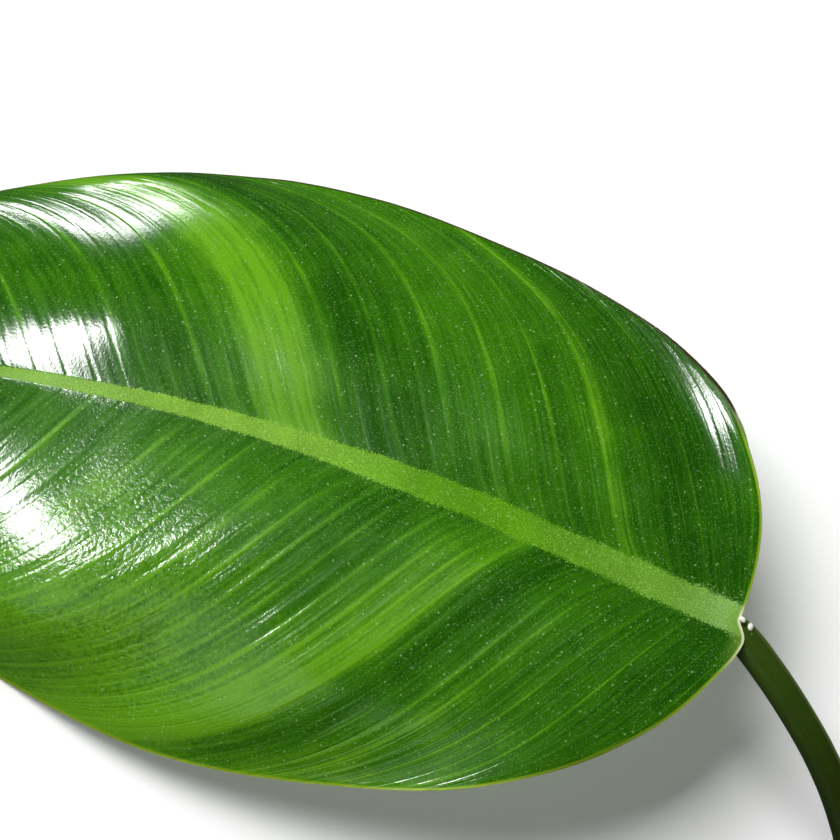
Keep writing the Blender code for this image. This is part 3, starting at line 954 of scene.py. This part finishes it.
def with_margin(tree, found, colour):
    """Turn the lobes by the stalk yellow, and draw the thread along the margin."""
    lobe_near = add(tree, "MapRange", {"Value": found["from_edge"], "From Min": 4.0, "From Max": 0.5,
                                       "To Max": 0.7}, interpolation_type="SMOOTHSTEP")
    lobe_mask = add(tree, "Math", {0: lobe_near, 1: found["cream"]}, operation="MULTIPLY")
    lobed = add(tree, "Mix", {0: lobe_mask, 6: colour, 7: LOBE_YELLOW}, data_type="RGBA").outputs[2]
    plain = add(tree, "Mix", {0: found["brown"], 6: EDGE_YELLOW, 7: EDGE_BROWN}, data_type="RGBA")
    thread = add(tree, "Mix", {0: found["cream"], 6: plain.outputs[2], 7: EDGE_CREAM}, data_type="RGBA")
    edge_mask = add(tree, "MapRange", {"Value": found["from_edge"], "From Min": 0.75, "From Max": 0.2},
                    interpolation_type="SMOOTHSTEP")
    return add(tree, "Mix", {0: edge_mask, 6: lobed, 7: thread.outputs[2]}, data_type="RGBA").outputs[2]


print("specks every", round(SPECK_SPACING / MM, 1), "mm")

# %% [markdown]
# ## Wax
#
# The wax is what makes the leaf look wet. It is smooth but never even: streaks along the veins
# roughen it, and its shine breaks up over the skin's cells, the grooves between the fine veins
# and the creases of the near half. That relief is finer than the mesh, so bump nodes add it one
# on the other. The midrib and the last strip before the margin have hardly any wax, so they get
# the same colours with less mirroring.

# %% Wax
WAX_IOR = 1.47
WAX_ROUGHNESS = {"To Min": 0.12, "To Max": 0.18}
RIB_ROUGHNESS = 0.26
SKIN_RELIEF = 0.027 * MM
STREAK_RELIEF = 0.028 * MM
GROOVE_RELIEF = 0.035 * MM
CREASE_RELIEF = 0.16 * MM


def wax(tree, found, on_rib, shader):
    """Coat the skin: clear wax, uneven, over cells, streaks, grooves and creases."""
    uneven = add(tree, "MapRange", {"Value": found["streak"], **NOISE_SPAN, **WAX_ROUGHNESS})
    rough = add(tree, "Mix", {0: on_rib, 2: uneven, 3: RIB_ROUGHNESS})
    tree.links.new(rough.outputs[0], shader.inputs["Roughness"])
    shader.inputs["IOR"].default_value = WAX_IOR
    off_rib = add(tree, "Math", {0: 1.0, 1: on_rib}, operation="SUBTRACT")
    skin_relief = add(tree, "Bump", {"Height": found["skin"], "Distance": SKIN_RELIEF})
    streak_relief = add(tree, "Bump", {"Strength": off_rib, "Height": found["streak"],
                                       "Distance": STREAK_RELIEF, "Normal": skin_relief})
    groove_start = add(tree, "MapRange", {"Value": found["run"], "From Min": 0.06, "From Max": 0.18})
    grooved = add(tree, "Math", {0: off_rib, 1: groove_start}, operation="MULTIPLY")
    groove_relief = add(tree, "Bump", {"Strength": grooved, "Height": found["fine_line"],
                                       "Distance": GROOVE_RELIEF, "Normal": streak_relief}, invert=True)
    crease_share = add(tree, "Math", {0: found["creased"], 1: off_rib}, operation="MULTIPLY")
    crease_relief = add(tree, "Bump", {"Strength": crease_share, "Height": found["crease"],
                                       "Distance": CREASE_RELIEF, "Normal": groove_relief})
    tree.links.new(crease_relief.outputs[0], shader.inputs["Normal"])


def waxy_upper(name, mirroring):
    """Leaf wax over green: broad bands, fine veins, mealy midrib, specks and thin margin."""
    material, tree, shader = new_material(name)
    shader.inputs["Specular IOR Level"].default_value = mirroring
    found = leaf_patterns(tree)
    colour, on_rib = with_midrib(tree, found, sheet_green(tree, found))
    colour = with_specks(tree, found, colour)
    colour = with_margin(tree, found, colour)
    tree.links.new(colour, shader.inputs["Base Color"])
    wax(tree, found, on_rib, shader)
    return material


upper_leaf = waxy_upper("waxy_upper_leaf", 0.5)
dull_leaf = waxy_upper("dull_midrib_and_rim", 0.06)
print("upper face in", upper_leaf.name, "and", dull_leaf.name)

# %% [markdown]
# ## The underside and the rim
#
# Turn the leaf over and it is paler and matt, because the underside has no wax and more air in it,
# with the veins standing out as lighter cords. The rim is a thin yellow green thread where
# light passes through, brownish along the far side. Both use the same notes as the upper face.

# %% Underside and rim
UNDER_GREEN = linear("6f9b45")
UNDER_VEIN = linear("93b868")
RIM_GREEN = linear("90ab36")
UNDER_RELIEF = 0.03 * MM


def matt_underside():
    """Unwaxed underside: pale green with lighter veins and a fine matt skin."""
    material, tree, shader = new_material("matt_under_leaf")
    place = add(tree, "TexCoord").outputs["Object"]
    strong = add(tree, "Attribute", attribute_name="strong").outputs["Fac"]
    rib = add(tree, "Attribute", attribute_name="rib").outputs["Fac"]
    mottle = add(tree, "TexNoise", {"Vector": place, "Scale": 1 / MOTTLE_SIZE, "Detail": 4.0})
    mottled = add(tree, "MapRange", {"Value": mottle, **NOISE_SPAN, "To Max": 0.3})
    pale = add(tree, "Math", {0: strong, 1: rib}, operation="MAXIMUM")
    pale_sum = add(tree, "Math", {0: pale, 1: mottled}, operation="ADD", use_clamp=True)
    colour = add(tree, "Mix", {0: pale_sum.outputs[0], 6: UNDER_GREEN, 7: UNDER_VEIN}, data_type="RGBA")
    tree.links.new(colour.outputs[2], shader.inputs["Base Color"])
    shader.inputs["Roughness"].default_value = 0.55
    skin = add(tree, "TexNoise", {"Vector": place, "Scale": 1 / SKIN_SIZE, "Detail": 2.0})
    relief = add(tree, "Bump", {"Height": skin, "Distance": UNDER_RELIEF})
    tree.links.new(relief.outputs[0], shader.inputs["Normal"])
    return material


def thin_rim():
    """The cut-thin rim, where light comes through the green."""
    material, tree, shader = new_material("thin_leaf_rim")
    place = add(tree, "TexCoord").outputs["Object"]
    cream = add(tree, "Attribute", attribute_name="cream").outputs["Fac"]
    brown = add(tree, "Attribute", attribute_name="brown").outputs["Fac"]
    mottle = add(tree, "TexNoise", {"Vector": place, "Scale": 1 / MOTTLE_SIZE, "Detail": 3.0})
    thread = add(tree, "ValToRGB", {0: mottle}, stops=((0.3, EDGE_YELLOW), (0.7, RIM_GREEN)))
    browned = add(tree, "Mix", {0: brown, 6: thread, 7: EDGE_BROWN}, data_type="RGBA")
    colour = add(tree, "Mix", {0: cream, 6: browned.outputs[2], 7: EDGE_CREAM}, data_type="RGBA")
    tree.links.new(colour.outputs[2], shader.inputs["Base Color"])
    shader.inputs["Roughness"].default_value = 0.4
    return material


under_leaf = matt_underside()
leaf_rim = thin_rim()
blade = finish_piece(blade_mesh, "green_blade", (upper_leaf, under_leaf, leaf_rim, dull_leaf))
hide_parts("leaf_blade")

# %% [markdown]
# ## The stalk
#
# The stalk is a solid, juicy rod, a little flatter on top. It leaves the keel under the base of
# the blade, comes down beside the near lobe and lies on the surface. A round section is carried
# along a smooth route, as if it were extruded round a bend. It starts inside the keel, so that
# blade and stalk meet with no gap.

# %% Route and section of the stalk
STALK_ROUTE = MM * np.array((
    (6, 1.2, 30.6), (0, -1.2, 30.8), (-9.4, -6.9, 28.6), (-17.2, -12.4, 25.4),
    (-24.0, -17.8, 22.0), (-30.4, -24.2, 18.4), (-36.2, -31.7, 14.6), (-45.4, -49.2, 8.0),
    (-53.4, -70.0, 4.4), (-57.6, -92.0, 3.4), (-59.2, -112.0, 3.4)))
STALK_RADIUS = ((0, 2.6 * MM), (0.06, 3.4 * MM), (0.3, 3.42 * MM), (0.5, 3.5 * MM), (1, 3.75 * MM))
STALK_FLATTENING = 0.07
STALK_SIDES = 48
STALK_STATIONS = 150


def stalk_frame(share):
    """Give the place and turn of the stalk's section at a share of its route."""
    here, ahead, behind = smooth_line(STALK_ROUTE, np.clip((share, share + 0.01, share - 0.01), 0, 1))
    tangent = Vector(ahead - behind)
    tangent.x = -tangent.x
    tangent.normalize()
    side = Vector((0, 0, 1)).cross(tangent).normalized()
    up = tangent.cross(side)
    turn = Matrix((side, up, tangent)).transposed().to_4x4()
    return Matrix.Translation(Vector((-here[0], here[1], here[2]))) @ turn


def stalk_mesh():
    """Carry the section along the route, noting how far round and along each vertex is."""
    mesh = bmesh.new()
    around = mesh.verts.layers.float.new("around")
    along = mesh.verts.layers.float.new("along")
    ring = bmesh.ops.create_circle(mesh, cap_ends=True, segments=STALK_SIDES, radius=1)["verts"]
    for vert in ring:
        vert[around] = math.atan2(vert.co.y, vert.co.x) / math.tau
        vert.co.y *= 1 - STALK_FLATTENING * max(0.0, vert.co.y) ** 2
    placed = stalk_frame(0) @ Matrix.Scale(plain_value(STALK_RADIUS, 0), 4)
    bmesh.ops.transform(mesh, matrix=placed, verts=ring)
    edges = mesh.edges[:]
    for station in range(1, STALK_STATIONS + 1):
        share = station / STALK_STATIONS
        target = stalk_frame(share) @ Matrix.Scale(plain_value(STALK_RADIUS, share), 4)
        grown = bmesh.ops.extrude_edge_only(mesh, edges=edges)["geom"]
        ring = [item for item in grown if isinstance(item, bmesh.types.BMVert)]
        edges = [item for item in grown if isinstance(item, bmesh.types.BMEdge)]
        bmesh.ops.transform(mesh, matrix=target @ placed.inverted(), verts=ring)
        for vert in ring:
            vert[along] = share
        placed = target
    bmesh.ops.contextual_create(mesh, geom=edges)
    return mesh


stalk = stalk_mesh()
print("stalk is", round(2 * STALK_RADIUS[1][1] / MM, 1), "mm thick")

# %% [markdown]
# ## The cut and the sap
#
# A knife cut the stalk's end at a slant, and its weight presses a narrow flat on the side that
# it lies on. Both are plane cuts, so one bisect and one new face make each. Two drops of milky
# sap have welled up beside the joint. Their white also paints the two glints there.

# %% Cut and sap
CUT_SLANT = math.radians(14)
CUT_SETBACK = 2 * MM
SAP_DROPS = (((0.5, 0.4, 34.5), (1.6, 1.1, 1.0), -40), ((2.5, -0.2, 33.4), (1.2, 1.8, 1.2), 12))
SKIN, CUT, SAP = range(3)


def cut_flat(mesh, place, outward, finish):
    """Cut the mesh on a plane, drop what lies outward of it and close the cut with a finish."""
    geometry = mesh.verts[:] + mesh.edges[:] + mesh.faces[:]
    cut = bmesh.ops.bisect_plane(
        mesh, geom=geometry, dist=0.0001 * MM, plane_co=place, plane_no=outward, clear_outer=True)
    rim = [item for item in cut["geom_cut"] if isinstance(item, bmesh.types.BMEdge)]
    for face in bmesh.ops.contextual_create(mesh, geom=rim)["faces"]:
        face.material_index = finish


def add_drops(mesh):
    """Set the sap drops on the stalk beside the joint, as flattened balls half sunk in."""
    for place, sides, turn in SAP_DROPS:
        matrix = (Matrix.Translation(Vector(place) * MM) @ Matrix.Rotation(math.radians(turn), 4, "Z")
                  @ Matrix.Diagonal(Vector(sides) * MM).to_4x4())
        drop = bmesh.ops.create_uvsphere(mesh, u_segments=24, v_segments=14, radius=0.5, matrix=matrix)
        for face in {face for vert in drop["verts"] for face in vert.link_faces}:
            face.material_index = SAP


slant = stalk_frame(1).to_3x3() @ Vector((math.sin(CUT_SLANT), 0, math.cos(CUT_SLANT)))
cut_flat(stalk, stalk_frame(1).to_translation() - slant * CUT_SETBACK, slant, CUT)
cut_flat(stalk, Vector((0, 0, 0)), Vector((0, 0, -1)), SKIN)
bmesh.ops.recalc_face_normals(stalk, faces=stalk.faces[:])
add_drops(stalk)
print("stalk has", len(stalk.faces), "faces and", len(SAP_DROPS), "drops")

# %% [markdown]
# ## The finish of the stalk
#
# The stalk's skin is dark olive with darker clouds, faint lengthwise stripes, one pale stripe
# along one side, partly paler skin and partly painted highlight, and pale dots, under the same
# wax as the blade, and greener near the blade. The stripes follow the stalk, so they are drawn on
# its own round and lengthwise numbers.

# %% Skin of the stalk
STALK_DARK = linear("1a2503")
STALK_OLIVE = linear("253505")
STALK_STRIPE = linear("36480e")
STALK_CLOUD = linear("171e04")
STALK_PALE_AND_PAINTED_HIGHLIGHT = linear("76863c")
STALK_TOP = linear("42621a")
STALK_MOTTLE_SIZE = 5 * MM
STRIPE_STRETCH = (5, 5, 3)
STRIPE_RELIEF = 0.04 * MM
PALE_STRIPE_PLACE = 0.10
PALE_STRIPE_WIDTH = 0.045
DOT_SPACING = 2.6 * MM


def olive_stalk():
    """Waxed olive skin with dark clouds, lengthwise stripes, a pale stripe of partly painted highlight and
    sparse dots.
    """
    material, tree, shader = new_material("waxy_olive_stalk")
    place = add(tree, "TexCoord").outputs["Object"]
    around = add(tree, "Attribute", attribute_name="around").outputs["Fac"]
    along = add(tree, "Attribute", attribute_name="along").outputs["Fac"]
    turn = add(tree, "Math", {0: around, 1: math.tau}, operation="MULTIPLY")
    turn_x = add(tree, "Math", {0: turn}, operation="COSINE")
    turn_y = add(tree, "Math", {0: turn}, operation="SINE")
    wrap = add(tree, "CombineXYZ", {0: turn_x, 1: turn_y, 2: along})
    stripe_map = add(tree, "Mapping", {"Vector": wrap, "Scale": STRIPE_STRETCH})
    stripe = add(tree, "TexNoise", {"Vector": stripe_map, "Scale": 1.0, "Detail": 3.0})
    green = add(tree, "ValToRGB", {0: stripe}, stops=(
        (0.35, STALK_DARK), (0.55, STALK_OLIVE), (0.75, STALK_STRIPE)))
    mottle = add(tree, "TexNoise", {"Vector": place, "Scale": 1 / STALK_MOTTLE_SIZE, "Detail": 3.0})
    cloud = add(tree, "MapRange", {"Value": mottle, "From Min": 0.35, "From Max": 0.6, "To Max": 0.7})
    clouded = add(tree, "Mix", {0: cloud.outputs[0], 6: green, 7: STALK_CLOUD}, data_type="RGBA")
    # Pale stripe along one side of the stalk: partly paler skin, partly painted highlight.
    from_pale_stripe = add(tree, "Math", {0: around, 1: PALE_STRIPE_PLACE}, operation="SUBTRACT")
    beside = add(tree, "Math", {0: from_pale_stripe}, operation="ABSOLUTE")
    pale_stripe_highlight = add(tree, "MapRange", {"Value": beside, "From Min": PALE_STRIPE_WIDTH, "From Max": 0.0,
                                   "To Max": 0.75}, interpolation_type="SMOOTHSTEP")
    with_pale_stripe_highlight = add(tree, "Mix", {0: pale_stripe_highlight.outputs[0], 6: clouded.outputs[2], 7: STALK_PALE_AND_PAINTED_HIGHLIGHT}, data_type="RGBA")
    near_blade = add(tree, "MapRange", {"Value": along, "From Min": 0.40, "From Max": 0.12, "To Max": 0.5})
    topped = add(tree, "Mix", {0: near_blade.outputs[0], 6: with_pale_stripe_highlight.outputs[2], 7: STALK_TOP},
                 data_type="RGBA")
    dots = add(tree, "TexVoronoi", {"Vector": place, "Scale": 1 / DOT_SPACING})
    dot_mask = add(tree, "MapRange", {"Value": dots, "From Min": 0.10, "From Max": 0.05, "To Max": 0.3})
    dotted = add(tree, "Mix", {0: dot_mask.outputs[0], 6: topped.outputs[2], 7: SPECK_GREEN},
                 data_type="RGBA")
    tree.links.new(dotted.outputs[2], shader.inputs["Base Color"])
    shader.inputs["Roughness"].default_value = 0.3
    shader.inputs["Specular IOR Level"].default_value = 0.3
    relief = add(tree, "Bump", {"Height": stripe, "Distance": STRIPE_RELIEF})
    tree.links.new(relief.outputs[0], shader.inputs["Normal"])
    return material


print("dots every", round(DOT_SPACING / MM, 1), "mm on the stalk")

# %% [markdown]
# ## The finish of the cut and the sap
#
# The fresh cut shows pale wet flesh with tiny darker vessels, which a Voronoi pattern spaces
# evenly. The sap is white and wet, and only a little cloudy, so a fine noise between two whites
# is enough; that near-white also paints the glints on the two drops. With these two finishes the
# stalk becomes one piece with three kinds of face.

# %% Flesh and sap
FLESH_GREEN = linear("b9c98a")
FLESH_DARK = linear("7d9550")
# Near-white sap, which also paints the glints on the two drops.
SAP_AND_GLINT_WHITE = linear("fbfbf2")
SAP_CLOUDED = linear("d9dcc0")
VESSEL_SPACING = 0.8 * MM
SAP_CLOUD_SIZE = 0.5 * MM


def fresh_cut():
    """Pale wet flesh of the cut end, with tiny darker vessels."""
    material, tree, shader = new_material("fresh_stalk_cut")
    place = add(tree, "TexCoord").outputs["Object"]
    vessels = add(tree, "TexVoronoi", {"Vector": place, "Scale": 1 / VESSEL_SPACING})
    colour = add(tree, "ValToRGB", {0: vessels}, stops=((0.1, FLESH_DARK), (0.35, FLESH_GREEN)))
    tree.links.new(colour.outputs[0], shader.inputs["Base Color"])
    shader.inputs["Roughness"].default_value = 0.3
    return material


def sap_with_painted_glint():
    """Drops of milky sap: white, wet and a little cloudy; the white also paints their glints."""
    material, tree, shader = new_material("sap_with_painted_glint")
    place = add(tree, "TexCoord").outputs["Object"]
    cloud = add(tree, "TexNoise", {"Vector": place, "Scale": 1 / SAP_CLOUD_SIZE, "Detail": 1.0})
    colour = add(tree, "ValToRGB", {0: cloud}, stops=((0.3, SAP_CLOUDED), (0.6, SAP_AND_GLINT_WHITE)))
    tree.links.new(colour.outputs[0], shader.inputs["Base Color"])
    shader.inputs["Roughness"].default_value = 0.15
    return material


petiole = finish_piece(stalk, "olive_stalk", (olive_stalk(), fresh_cut(), sap_with_painted_glint()))
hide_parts("petiole")
